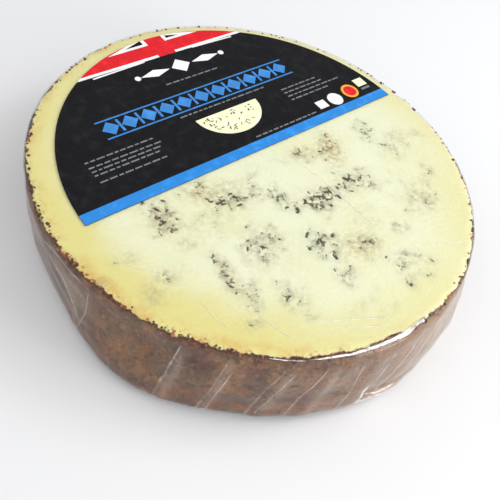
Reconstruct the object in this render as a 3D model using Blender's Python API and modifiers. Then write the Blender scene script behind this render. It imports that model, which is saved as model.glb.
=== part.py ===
"""A quarter disc of blue Stilton in tight clear film, with a half-round printed label on its cut face.

Metres, +Z up. The origin is at the bottom centre of the bounding box, and +Y points to the
label's top. The wrapped cheese is one solid: cheese and film together, out to the film.
"""

import math

import bmesh
import bpy
from mathutils import Vector, noise

# Driving sizes of the wrapped cheese
DISC_RADIUS = 0.105
DISC_HEIGHT = 0.050
TOP_EDGE_ROUND = 0.0022
BOTTOM_EDGE_ROUND = 0.0075
SIDE_BULGE = 0.0008

# The disc was cut a little askew, so its foot lies to one side of its top
LEAN_OFFSET = 0.0036
LEAN_BEARING = 310.0

# The rind: broad lumps, small crags, and a ragged cut edge at the top
LUMP_SIZE = 0.026
LUMP_DEPTH = 0.0009
CRAG_SIZE = 0.0085
CRAG_DEPTH = 0.0006
EDGE_SAG = 0.0007
RIND_SEED = Vector((3.1, 7.7, 1.3))

# The film's forms: where it spans the cut edge, the hollow, the belly, the swollen foot,
# the pleats and the tucked flap
BRIDGE_BEARING = 257.0
BRIDGE_SPREAD = 17.0
BRIDGE_OUT = 0.0016
HOLLOW_BEARING = 176.0
HOLLOW_SPREAD = 13.0
HOLLOW_DEPTH = 0.0024
BELLY_BEARING = 293.0
BELLY_SPREAD = 24.0
BELLY_OUT = 0.0032
FOOT_BEARING = 203.0
FOOT_SPREAD = 13.0
FOOT_OUT = 0.0042
PLEAT_BEARINGS = (184.0, 211.0, 221.0, 233.5, 244.0, 256.0, 287.0, 299.0)
PLEAT_SPREAD = 1.7
PLEAT_HEIGHT = 0.0007
PLEAT_SLANT = 5.0
FLAP_BEARING = 267.0
FLAP_SPREAD = 5.0
FLAP_OUT = 0.0016
FLAP_TOP = 0.017

# The label: a half disc of thin card cut a little above its circle's middle
LABEL_RADIUS = 0.0933
LABEL_CENTRE = (0.0037, 0.0040)
LABEL_CHORD_Y = 0.0057
LABEL_THICKNESS = 0.00035
CONTACT_GAP = 0.0003

# How finely the surfaces are divided
DISC_STEPS = 144
EDGE_STEPS = 4
SIDE_STEPS = 10
LABEL_ARC_POINTS = 72


def clear_scene():
    """Empties the scene."""
    for found in list(bpy.data.objects):
        bpy.data.objects.remove(found, do_unlink=True)


def make_material(name, colour, roughness, metallic=0.0):
    """A Principled material of one colour."""
    material = bpy.data.materials.new(name)
    material.use_nodes = True
    shader = material.node_tree.nodes["Principled BSDF"]
    shader.inputs["Base Color"].default_value = (*colour, 1.0)
    shader.inputs["Roughness"].default_value = roughness
    shader.inputs["Metallic"].default_value = metallic
    return material


def near_bearing(angle, bearing, spread):
    """1 at a bearing in degrees, falling smoothly to 0 within a few spreads of it."""
    apart = (math.degrees(angle) - bearing + 180.0) % 360.0 - 180.0
    return math.exp(-0.5 * (apart / spread) ** 2)


def smooth_step(low, high, value):
    """0 below low, 1 above high, and a smooth ramp between them."""
    share = min(max((value - low) / (high - low), 0.0), 1.0)
    return share * share * (3.0 - 2.0 * share)


def disc_profile():
    """The disc's (radius, height) points from the top's middle, down the side, to the bottom's middle."""
    points = [(0.0, DISC_HEIGHT)]
    for step in range(EDGE_STEPS + 1):
        angle = math.radians(90.0) * (1.0 - step / EDGE_STEPS)
        points.append(
            (
                DISC_RADIUS - TOP_EDGE_ROUND * (1.0 - math.cos(angle)),
                DISC_HEIGHT - TOP_EDGE_ROUND * (1.0 - math.sin(angle)),
            )
        )
    side_top = DISC_HEIGHT - TOP_EDGE_ROUND
    for step in range(1, SIDE_STEPS):
        share = step / SIDE_STEPS
        height = side_top + (BOTTOM_EDGE_ROUND - side_top) * share
        points.append((DISC_RADIUS + SIDE_BULGE * math.sin(math.pi * share), height))
    for step in range(EDGE_STEPS + 1):
        angle = math.radians(90.0) * step / EDGE_STEPS
        points.append(
            (
                DISC_RADIUS - BOTTOM_EDGE_ROUND * (1.0 - math.cos(angle)),
                BOTTOM_EDGE_ROUND * (1.0 - math.sin(angle)),
            )
        )
    points.append((0.0, 0.0))
    return points


def turned_mesh(name, profile):
    """A closed mesh turned from a profile round the Z axis."""
    outline = bpy.data.meshes.new(name + "_profile")
    vertices = [(radius, 0.0, height) for radius, height in profile]
    edges = [(index, index + 1) for index in range(len(profile) - 1)]
    outline.from_pydata(vertices, edges, [])
    turned = bpy.data.objects.new(name + "_turned", outline)
    bpy.context.scene.collection.objects.link(turned)
    screw = turned.modifiers.new("turn", "SCREW")
    screw.axis = "Z"
    screw.steps = DISC_STEPS
    screw.render_steps = DISC_STEPS
    screw.use_merge_vertices = True
    screw.merge_threshold = 0.00001
    graph = bpy.context.evaluated_depsgraph_get()
    mesh = bpy.data.meshes.new_from_object(turned.evaluated_get(graph))
    mesh.name = name
    bpy.data.objects.remove(turned, do_unlink=True)
    bpy.data.meshes.remove(outline)
    return mesh


def rind_relief(direction, height):
    """How far the rind stands out at a direction and height: broad lumps with small crags on them."""
    at = direction * DISC_RADIUS + Vector((0.0, 0.0, height))
    lumps = noise.noise(at / LUMP_SIZE + RIND_SEED)
    crags = noise.noise(at / CRAG_SIZE + RIND_SEED * 2.0)
    return LUMP_DEPTH * lumps + CRAG_DEPTH * crags


def film_relief(angle, height):
    """How far the film stands out or in at a bearing and height, from its pleats, flap and spans."""
    down = 1.0 - height / DISC_HEIGHT
    below_edge = smooth_step(0.0, 0.35, down) * (1.0 - smooth_step(0.82, 1.0, down))
    out = -HOLLOW_DEPTH * near_bearing(angle, HOLLOW_BEARING, HOLLOW_SPREAD) * smooth_step(0.1, 0.7, down)
    out += BELLY_OUT * near_bearing(angle, BELLY_BEARING, BELLY_SPREAD) * smooth_step(0.1, 0.6, down)
    out += FOOT_OUT * near_bearing(angle, FOOT_BEARING, FOOT_SPREAD) * smooth_step(0.2, 0.9, down)
    near_top = smooth_step(0.0, 0.06, down) * (1.0 - smooth_step(0.12, 0.5, down))
    out += BRIDGE_OUT * near_bearing(angle, BRIDGE_BEARING, BRIDGE_SPREAD) * near_top
    for bearing in PLEAT_BEARINGS:
        slanted = bearing + PLEAT_SLANT * (0.5 - down)
        out += PLEAT_HEIGHT * near_bearing(angle, slanted, PLEAT_SPREAD) * below_edge
    low = 1.0 - smooth_step(0.7 * FLAP_TOP, FLAP_TOP, height)
    out += FLAP_OUT * near_bearing(angle, FLAP_BEARING, FLAP_SPREAD) * low * smooth_step(0.001, 0.004, height)
    return out


def shape_disc(mesh):
    """Gives the turned disc its lean, its rind and its film forms. The flat faces stay flat."""
    flat_reach = DISC_RADIUS - TOP_EDGE_ROUND
    foot_reach = DISC_RADIUS - BOTTOM_EDGE_ROUND
    lean = Vector((math.cos(math.radians(LEAN_BEARING)), math.sin(math.radians(LEAN_BEARING)), 0.0))
    body = bmesh.new()
    body.from_mesh(mesh)
    for vertex in body.verts:
        height = vertex.co.z
        radius = math.hypot(vertex.co.x, vertex.co.y)
        if radius < 1e-6:
            continue
        direction = Vector((vertex.co.x, vertex.co.y, 0.0)) / radius
        angle = math.atan2(direction.y, direction.x)
        on_side = smooth_step(0.0, TOP_EDGE_ROUND, DISC_HEIGHT - height)
        on_side *= smooth_step(foot_reach - 0.0001, foot_reach + 0.6 * BOTTOM_EDGE_ROUND, radius)
        out = on_side * (rind_relief(direction, height) + film_relief(angle, height))
        edge = smooth_step(flat_reach - 0.0001, DISC_RADIUS, radius)
        edge *= smooth_step(0.8 * DISC_HEIGHT, DISC_HEIGHT, height)
        sag = EDGE_SAG * edge * (0.5 + noise.noise(direction * DISC_RADIUS / CRAG_SIZE))
        shift = lean * LEAN_OFFSET * (1.0 - height / DISC_HEIGHT)
        vertex.co += direction * out + shift
        vertex.co.z -= max(sag, 0.0)
    bmesh.ops.recalc_face_normals(body, faces=body.faces)
    body.to_mesh(mesh)
    body.free()


def make_cheese(collection, material):
    """The wrapped disc of cheese, as one closed solid."""
    mesh = turned_mesh("cheese", disc_profile())
    shape_disc(mesh)
    mesh.shade_smooth()
    mesh.set_sharp_from_angle(angle=math.radians(40.0))
    mesh.materials.append(material)
    cheese = bpy.data.objects.new("cheese", mesh)
    collection.objects.link(cheese)
    return cheese


def label_outline():
    """The label's (x, y) corners: along the arc from its right end to its left end."""
    rise = LABEL_CHORD_Y - LABEL_CENTRE[1]
    start = math.asin(rise / LABEL_RADIUS)
    finish = math.pi - start
    points = []
    for step in range(LABEL_ARC_POINTS + 1):
        angle = start + (finish - start) * step / LABEL_ARC_POINTS
        points.append(
            (
                LABEL_CENTRE[0] + LABEL_RADIUS * math.cos(angle),
                LABEL_CENTRE[1] + LABEL_RADIUS * math.sin(angle),
            )
        )
    return points


def make_label(collection, material):
    """The label, a flat outline given its thickness, resting on the film a contact gap above it."""
    outline = label_outline()
    curve = bpy.data.curves.new("label", "CURVE")
    curve.dimensions = "2D"
    curve.fill_mode = "BOTH"
    curve.extrude = LABEL_THICKNESS / 2.0
    spline = curve.splines.new("POLY")
    spline.points.add(len(outline) - 1)
    for point, (x, y) in zip(spline.points, outline):
        point.co = (x, y, 0.0, 1.0)
    spline.use_cyclic_u = True
    curve.materials.append(material)
    label = bpy.data.objects.new("label", curve)
    label.location.z = DISC_HEIGHT + CONTACT_GAP + LABEL_THICKNESS / 2.0
    collection.objects.link(label)
    return label


def centre_on_origin(cheese, label):
    """Moves both pieces sideways so that the wrapped disc's bounding box is centred on the origin."""
    corners = [vertex.co for vertex in cheese.data.vertices]
    middle_x = (min(c.x for c in corners) + max(c.x for c in corners)) / 2.0
    middle_y = (min(c.y for c in corners) + max(c.y for c in corners)) / 2.0
    for piece in (cheese, label):
        piece.location.x -= middle_x
        piece.location.y -= middle_y


def main():
    """Builds the wrapped cheese and its label."""
    clear_scene()
    collection = bpy.data.collections.new("blue_stilton_cheese")
    bpy.context.scene.collection.children.link(collection)
    wrapped = make_material("wrapped_cheese", (0.78, 0.70, 0.42), 0.35)
    print_card = make_material("label_print", (0.012, 0.014, 0.018), 0.30)
    cheese = make_cheese(collection, wrapped)
    label = make_label(collection, print_card)
    centre_on_origin(cheese, label)


main()
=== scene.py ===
import logging
import math
from collections.abc import Callable, Sequence
from dataclasses import dataclass, field
from enum import Enum
from functools import cache

import bmesh
import bpy
import numpy as np
from mathutils import Euler, Matrix, Vector, noise
from mathutils.bvhtree import BVHTree


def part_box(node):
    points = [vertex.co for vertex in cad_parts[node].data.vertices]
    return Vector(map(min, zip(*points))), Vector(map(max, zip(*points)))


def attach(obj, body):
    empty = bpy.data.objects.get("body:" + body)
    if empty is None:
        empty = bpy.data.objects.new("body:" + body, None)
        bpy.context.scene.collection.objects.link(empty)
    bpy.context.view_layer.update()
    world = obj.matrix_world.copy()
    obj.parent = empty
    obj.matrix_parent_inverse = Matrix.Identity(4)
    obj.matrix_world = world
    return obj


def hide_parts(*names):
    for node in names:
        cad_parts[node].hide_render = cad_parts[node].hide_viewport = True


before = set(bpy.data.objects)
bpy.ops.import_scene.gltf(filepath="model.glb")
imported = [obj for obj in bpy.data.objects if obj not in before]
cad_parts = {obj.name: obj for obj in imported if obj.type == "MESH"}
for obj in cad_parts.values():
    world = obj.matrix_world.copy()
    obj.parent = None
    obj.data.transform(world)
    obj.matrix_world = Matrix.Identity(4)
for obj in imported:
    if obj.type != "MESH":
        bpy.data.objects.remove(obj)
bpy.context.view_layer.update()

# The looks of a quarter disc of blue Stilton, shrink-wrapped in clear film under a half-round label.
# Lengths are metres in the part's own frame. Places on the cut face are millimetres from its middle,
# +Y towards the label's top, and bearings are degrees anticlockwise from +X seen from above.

MM = 0.001
LOG = logging.getLogger("wrapped_cheese")


def paint(code: str) -> tuple[float, float, float, float]:
    """Turns a screen colour into the linear colour that shaders take.

    Args:
        code: Six hexadecimal digits, red first.

    Returns:
        Red, green, blue and a full alpha.
    """
    parts = [int(code[start : start + 2], 16) / 255.0 for start in (0, 2, 4)]
    linear = [((part + 0.055) / 1.055) ** 2.4 if part > 0.04045 else part / 12.92 for part in parts]
    return (linear[0], linear[1], linear[2], 1.0)


def ramp(value: np.ndarray, low: float, high: float) -> np.ndarray:
    """Eases an array from 0 at low to 1 at high.

    Args:
        value: The numbers to ease.
        low: Where the result is 0.
        high: Where the result is 1, which may lie below low.

    Returns:
        The eased numbers.
    """
    share = np.clip((value - low) / (high - low), 0.0, 1.0)
    return share * share * (3.0 - 2.0 * share)


def near_bearing(
    bearing: float | np.ndarray, middle: float | np.ndarray, spread: float
) -> float | np.ndarray:
    """Falls from 1 at one bearing smoothly to 0 a few spreads away.

    Args:
        bearing: Bearings in degrees.
        middle: The bearing where the result is 1.
        spread: How far, in degrees, the bump reaches.

    Returns:
        The bump's height at each bearing.
    """
    apart = (bearing - middle + 180.0) % 360.0 - 180.0
    return np.exp(-0.5 * (apart / spread) ** 2)


def noise_at(points: np.ndarray, size: float, seed: float) -> np.ndarray:
    """Smooth noise, about -1 to 1, at many places.

    Args:
        points: One row of x, y and z for each place.
        size: The length over which the noise changes.
        seed: Shifts the pattern, so that two uses differ.

    Returns:
        One number for each place.
    """
    shift = Vector((seed * 1.7, seed * 3.1, seed * 5.3))
    return np.array([noise.noise(Vector(point) / size + shift) for point in points])


@cache
def node_box(name: str) -> tuple[Vector, Vector]:
    """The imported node's corners, measured once."""
    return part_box(name)


@dataclass(frozen=True)
class DiscPlace:
    """Where the disc lies in the frame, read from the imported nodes.

    Args:
        label_middle: The label circle's middle, in metres from the cut face's middle.
        label_radius: The label circle's radius.
        radius: The cut face's radius.
        lean: How far the foot lies from under the top, in metres.
        lean_bearing: The direction of the lean.
    """

    label_middle: tuple[float, float] = (3.7 * MM, 4.0 * MM)
    label_radius: float = 93.3 * MM
    radius: float = 105.0 * MM
    lean: float = 3.6 * MM
    lean_bearing: float = 310.0

    def height(self) -> float:
        """The wrapped disc's thickness."""
        return node_box("cheese")[1].z

    def middle(self) -> tuple[float, float]:
        """The cut face's middle.

        Returns:
            Its x and y, in metres.
        """
        low, high = node_box("label")
        x = (low.x + high.x) / 2.0 - self.label_middle[0]
        y = high.y - self.label_radius - self.label_middle[1]
        return x, y

    def local(self, points: np.ndarray) -> np.ndarray:
        """Places in millimetres from the disc's own middle, which leans with height.

        Args:
            points: World places, in metres.

        Returns:
            The same places as x and y from the middle at that height, and z, in millimetres.
        """
        x, y = self.middle()
        drop = 1.0 - np.clip(points[:, 2] / self.height(), 0.0, 1.0)
        bearing = math.radians(self.lean_bearing)
        moved = points.astype(float).copy()
        moved[:, 0] -= x + self.lean * math.cos(bearing) * drop
        moved[:, 1] -= y + self.lean * math.sin(bearing) * drop
        return moved / MM

    def world(self, x: float, y: float, z: float) -> Vector:
        """The world place of a point of the disc.

        Args:
            x: Millimetres along X from the disc's middle at that height.
            y: Millimetres along Y.
            z: Millimetres above the floor.

        Returns:
            The place, in metres.
        """
        middle_x, middle_y = self.middle()
        drop = 1.0 - min(max(z * MM / self.height(), 0.0), 1.0)
        bearing = math.radians(self.lean_bearing)
        return Vector(
            (
                middle_x + self.lean * math.cos(bearing) * drop + x * MM,
                middle_y + self.lean * math.sin(bearing) * drop + y * MM,
                z * MM,
            )
        )

    def on_wrap(self, x: float, y: float, z: float) -> tuple[Vector, Vector]:
        """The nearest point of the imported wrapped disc.

        Args:
            x: Millimetres along X from the disc's middle at that height.
            y: Millimetres along Y.
            z: Millimetres above the floor.

        Returns:
            The point and the surface's normal there.
        """
        point, normal, _, _ = packed_wrap().find_nearest(self.world(x, y, z))
        return point, normal

    def on_wall(self, bearing: float, z: float, reach: float = 106.0) -> tuple[Vector, Vector]:
        """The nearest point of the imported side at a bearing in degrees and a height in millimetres."""
        turn = math.radians(bearing)
        return self.on_wrap(reach * math.cos(turn), reach * math.sin(turn), z)


@cache
def packed_wrap() -> BVHTree:
    """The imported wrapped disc's faces, ready for nearest-point questions."""
    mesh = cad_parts["cheese"].data
    return BVHTree.FromPolygons([v.co for v in mesh.vertices], [tuple(p.vertices) for p in mesh.polygons])


PLACE = DiscPlace()


class Spots:
    """Where many points of a disc lie: millimetres from its middle, and bearings in degrees."""

    def __init__(self, points: np.ndarray) -> None:
        """Works out the places.

        Args:
            points: World places in metres, one row each.
        """
        local = PLACE.local(points)
        self.flat = local[:, :2]
        self.above = local[:, 2]
        self.drop = self.above.max() - self.above
        self.radius = np.hypot(local[:, 0], local[:, 1])
        self.bearing = np.degrees(np.arctan2(local[:, 1], local[:, 0])) % 360.0

    def near(self, middle: float | np.ndarray, spread: float) -> np.ndarray:
        """1 at one bearing, falling smoothly to 0 a few spreads away."""
        return near_bearing(self.bearing, middle, spread)

    def outward(self) -> np.ndarray:
        """The level direction away from the middle.

        Returns:
            One row of x, y and z for each point, of length 1.
        """
        turn = np.radians(self.bearing)
        return np.column_stack([np.cos(turn), np.sin(turn), np.zeros(len(turn))])

    def dents(self) -> np.ndarray:
        """How far the lumpy stretch of the cut edge at the back right is dented in.

        Returns:
            The dent at each point, in millimetres.
        """
        depth = self.near(2.0, 1.3) + 0.8 * self.near(355.2, 1.3) + 0.7 * self.near(8.6, 1.6)
        return 1.8 * depth * np.exp(-((self.drop / 7.0) ** 2)) * ramp(self.radius, 97.0, 104.0)


class Mesher:
    """Modelling by hand on one mesh object: selecting by place, then Blender's own operators."""

    def __init__(self, piece: bpy.types.Object) -> None:
        """Takes the object to work on."""
        self.piece = piece

    @staticmethod
    def clear_selection() -> None:
        bpy.ops.object.select_all(action="DESELECT")

    def take(self) -> None:
        """Makes this piece the only selected and the active one."""
        self.clear_selection()
        self.piece.select_set(True)
        bpy.context.view_layer.objects.active = self.piece

    def edit(self) -> None:
        """Goes into edit mode with nothing selected."""
        self.take()
        bpy.ops.object.mode_set(mode="EDIT")
        bpy.ops.mesh.select_all(action="DESELECT")

    def leave(self) -> None:
        """Goes back to object mode."""
        bpy.ops.object.mode_set(mode="OBJECT")

    def pick(self, kind: str, wanted: Callable[[bmesh.types.BMFace | bmesh.types.BMEdge], bool]) -> None:
        """Selects the faces or edges that pass a test, in edit mode.

        Args:
            kind: FACE or EDGE.
            wanted: Says whether a face or edge is to be selected.
        """
        bpy.ops.mesh.select_mode(type=kind)
        body = bmesh.from_edit_mesh(self.piece.data)
        for part in body.faces if kind == "FACE" else body.edges:
            part.select_set(bool(wanted(part)))
        body.select_flush_mode()
        bmesh.update_edit_mesh(self.piece.data)

    def keep_beyond(self, point: Vector, normal: Vector) -> None:
        """Cuts the mesh with a plane, keeps the side the normal points to, and closes it.

        Args:
            point: A point of the plane.
            normal: The plane's normal, towards what stays.
        """
        self.edit()
        bpy.ops.mesh.select_all(action="SELECT")
        bpy.ops.mesh.bisect(plane_co=point, plane_no=normal, use_fill=True, clear_inner=True)
        self.leave()

    def apply_all(self) -> None:
        """Applies every modifier, in order."""
        self.take()
        for modifier in list(self.piece.modifiers):
            bpy.ops.object.modifier_apply(modifier=modifier.name)

    def points(self) -> np.ndarray:
        """The vertices' places.

        Returns:
            One row of x, y and z for each.
        """
        values = np.empty(len(self.piece.data.vertices) * 3, np.float32)
        self.piece.data.vertices.foreach_get("co", values)
        return values.reshape(-1, 3).astype(float)

    def move_to(self, points: np.ndarray) -> None:
        """Puts the vertices at new places."""
        self.piece.data.vertices.foreach_set("co", points.astype(np.float32).ravel())
        self.piece.data.update()

    def store(self, name: str, values: np.ndarray) -> None:
        """Keeps one number for each vertex as a named attribute."""
        layer = self.piece.data.attributes.new(name, "FLOAT", "POINT")
        layer.data.foreach_set("value", values.astype(np.float32))

    def outwards(self) -> None:
        """Turns every face outwards."""
        self.edit()
        bpy.ops.mesh.select_all(action="SELECT")
        bpy.ops.mesh.normals_make_consistent(inside=False)
        self.leave()

    def smooth(self, angle: float) -> None:
        """Shades the piece smooth, with edges sharper than an angle in degrees kept crisp."""
        self.take()
        bpy.ops.object.shade_smooth_by_angle(angle=math.radians(angle))


class Blanks:
    """Small starting shapes, each modelled once and then copied with its own mesh."""

    def __init__(self) -> None:
        """Starts with no shapes."""
        self.meshes: dict[str, bpy.types.Mesh] = {}

    def made(self, name: str, add: Callable[[], object]) -> bpy.types.Mesh:
        """Models a shape the first time it is asked for.

        Args:
            name: The shape's name.
            add: Adds it to the scene as the active object.

        Returns:
            Its mesh.
        """
        if name not in self.meshes:
            Mesher.clear_selection()
            add()
            piece = bpy.context.object
            self.meshes[name] = piece.data.copy()
            bpy.data.objects.remove(piece, do_unlink=True)
        return self.meshes[name]

    def bar(self) -> bpy.types.Mesh:
        """A bar one unit long, wide and thick."""
        return self.made("bar", lambda: bpy.ops.mesh.primitive_cube_add(size=1.0))

    def disc(self, sides: int) -> bpy.types.Mesh:
        """A flat disc or lozenge of radius 1 and thickness 1."""
        add = bpy.ops.mesh.primitive_cylinder_add
        return self.made(f"disc_{sides}", lambda: add(vertices=sides, radius=1.0, depth=1.0))

    def lump(self) -> bpy.types.Mesh:
        """A rough ball of radius 1."""
        return self.made("lump", lambda: bpy.ops.mesh.primitive_ico_sphere_add(subdivisions=1, radius=1.0))

    @staticmethod
    def copy(mesh: bpy.types.Mesh, place: Vector, size: Vector, turn: float) -> bpy.types.Object:
        """Copies a shape to a place.

        Args:
            mesh: The shape.
            place: Where its middle goes.
            size: Its scale along X, Y and Z.
            turn: Its turn about Z in degrees.

        Returns:
            The copy, an object at the origin with its place in its mesh.
        """
        own = mesh.copy()
        own.transform(Matrix.LocRotScale(place, Euler((0.0, 0.0, math.radians(turn))), size))
        copy = bpy.data.objects.new(mesh.name, own)
        bpy.context.scene.collection.objects.link(copy)
        return copy


BLANKS = Blanks()


def joined(name: str, parts: Sequence[bpy.types.Object]) -> bpy.types.Object:
    """Joins several mesh objects into one.

    Args:
        name: The joined piece's name.
        parts: The objects to join.

    Returns:
        The joined object.
    """
    Mesher.clear_selection()
    for part in parts:
        part.select_set(True)
    bpy.context.view_layer.objects.active = parts[0]
    if len(parts) > 1:
        bpy.ops.object.join()
    piece = bpy.context.view_layer.objects.active
    piece.name = name
    piece.data.name = name
    return piece


class Sheet:
    """A material's node tree, with a short method for each kind of node the finishes use."""

    def __init__(self, name: str) -> None:
        """Starts an empty material that reads Object coordinates.

        Args:
            name: The material's name.
        """
        self.material = bpy.data.materials.new(name)
        self.material.use_nodes = True
        self.tree = self.material.node_tree
        self.tree.nodes.clear()
        self.output = self.node("OutputMaterial")
        self.place = self.node("TexCoord").outputs["Object"]

    def plug(self, target: bpy.types.NodeSocket, value: object) -> None:
        """Feeds a socket.

        Args:
            target: The socket.
            value: A socket to link from, a screen colour's code, or a plain value.
        """
        if isinstance(value, bpy.types.NodeSocket):
            self.tree.links.new(value, target)
        else:
            target.default_value = paint(value) if isinstance(value, str) else value

    def node(self, kind: str, **sockets: object) -> bpy.types.Node:
        """Adds one node.

        Args:
            kind: Its type, without the word that every shader node's type starts with.
            sockets: What its inputs take, by name with _ for a space.

        Returns:
            The node.
        """
        node = self.tree.nodes.new("ShaderNode" + kind)
        for name, value in sockets.items():
            self.plug(node.inputs[name.replace("_", " ")], value)
        return node

    def stretched(self, scale: tuple[float, float, float], turn: float) -> bpy.types.NodeSocket:
        """Object coordinates turned about Z by some degrees and then scaled, for streaks."""
        rotation = (0.0, 0.0, math.radians(turn))
        return self.node("Mapping", Vector=self.place, Rotation=rotation, Scale=scale).outputs["Vector"]

    def grain(
        self,
        scale: float,
        detail: float = 3.0,
        rough: float = 0.5,
        bend: float = 0.0,
        at: bpy.types.NodeSocket | None = None,
    ) -> bpy.types.NodeSocket:
        """Cloudy noise, 0 to 1.

        Args:
            scale: Features for each metre.
            detail: How many finer layers it has.
            rough: How strong the finer layers are.
            bend: How far the pattern is bent.
            at: The coordinates, or the object's own.

        Returns:
            The noise.
        """
        node = self.node("TexNoise", Scale=scale, Detail=detail, Roughness=rough, Distortion=bend)
        self.plug(node.inputs["Vector"], at or self.place)
        return node.outputs["Fac"]

    def stored(self, name: str) -> bpy.types.NodeSocket:
        """A number kept on the mesh.

        Args:
            name: The number's name there.

        Returns:
            The number.
        """
        node = self.node("Attribute")
        node.attribute_name = name
        return node.outputs["Fac"]

    def maths(self, kind: str, first: object, second: object) -> bpy.types.NodeSocket:
        """One sum of two numbers.

        Args:
            kind: The operation.
            first: A number or socket.
            second: A number or socket.

        Returns:
            The result.
        """
        node = self.node("Math")
        node.operation = kind
        self.plug(node.inputs[0], first)
        self.plug(node.inputs[1], second)
        return node.outputs[0]

    def plus(self, first: object, second: object) -> bpy.types.NodeSocket:
        """Two numbers added."""
        return self.maths("ADD", first, second)

    def minus(self, first: object, second: object) -> bpy.types.NodeSocket:
        """The second number taken from the first."""
        return self.maths("SUBTRACT", first, second)

    def times(self, first: object, second: object) -> bpy.types.NodeSocket:
        """Two numbers multiplied."""
        return self.maths("MULTIPLY", first, second)

    def eased(self, value: object, low: float, high: float, top: float = 1.0) -> bpy.types.NodeSocket:
        """Eases a number from 0 at low to top at high.

        Args:
            value: A socket.
            low: Where the result is 0.
            high: Where the result is top.
            top: The largest result.

        Returns:
            The eased number.
        """
        node = self.node("MapRange", Value=value, From_Min=low, From_Max=high, To_Max=top)
        node.interpolation_type = "SMOOTHSTEP"
        return node.outputs["Result"]

    def blend(self, share: object, under: object, over: object) -> bpy.types.NodeSocket:
        """Mixes two colours.

        Args:
            share: How much of the second shows.
            under: The first colour.
            over: The second colour.

        Returns:
            The mixed colour.
        """
        node = self.node("Mix", Factor=share)
        node.data_type = "RGBA"
        self.plug(node.inputs[6], under)
        self.plug(node.inputs[7], over)
        return node.outputs[2]

    def mixed(self, share: object, under: bpy.types.Node, over: bpy.types.Node) -> bpy.types.Node:
        """Mixes two shaders.

        Args:
            share: How much of the second shows.
            under: The first shader.
            over: The second shader.

        Returns:
            The mixed shader.
        """
        node = self.node("MixShader")
        for target, value in zip(node.inputs, (share, under.outputs[0], over.outputs[0])):
            self.plug(target, value)
        return node

    def relief(self, height: object, depth: float, strength: float) -> bpy.types.NodeSocket:
        """The normal bumped by a relief of 0 to 1, with its depth in metres and how much of it shows."""
        return self.node("Bump", Strength=strength, Distance=depth, Height=height).outputs["Normal"]

    def finish(self, shader: bpy.types.Node) -> bpy.types.Material:
        """Wires a shader to the output and hands over the material."""
        self.plug(self.output.inputs["Surface"], shader.outputs[0])
        return self.material

    def surface(self, colour: object, rough: object, **more: object) -> bpy.types.Material:
        """Finishes the material as one Principled surface, with more inputs by name."""
        return self.finish(self.node("BsdfPrincipled", Base_Color=colour, Roughness=rough, **more))


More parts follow.
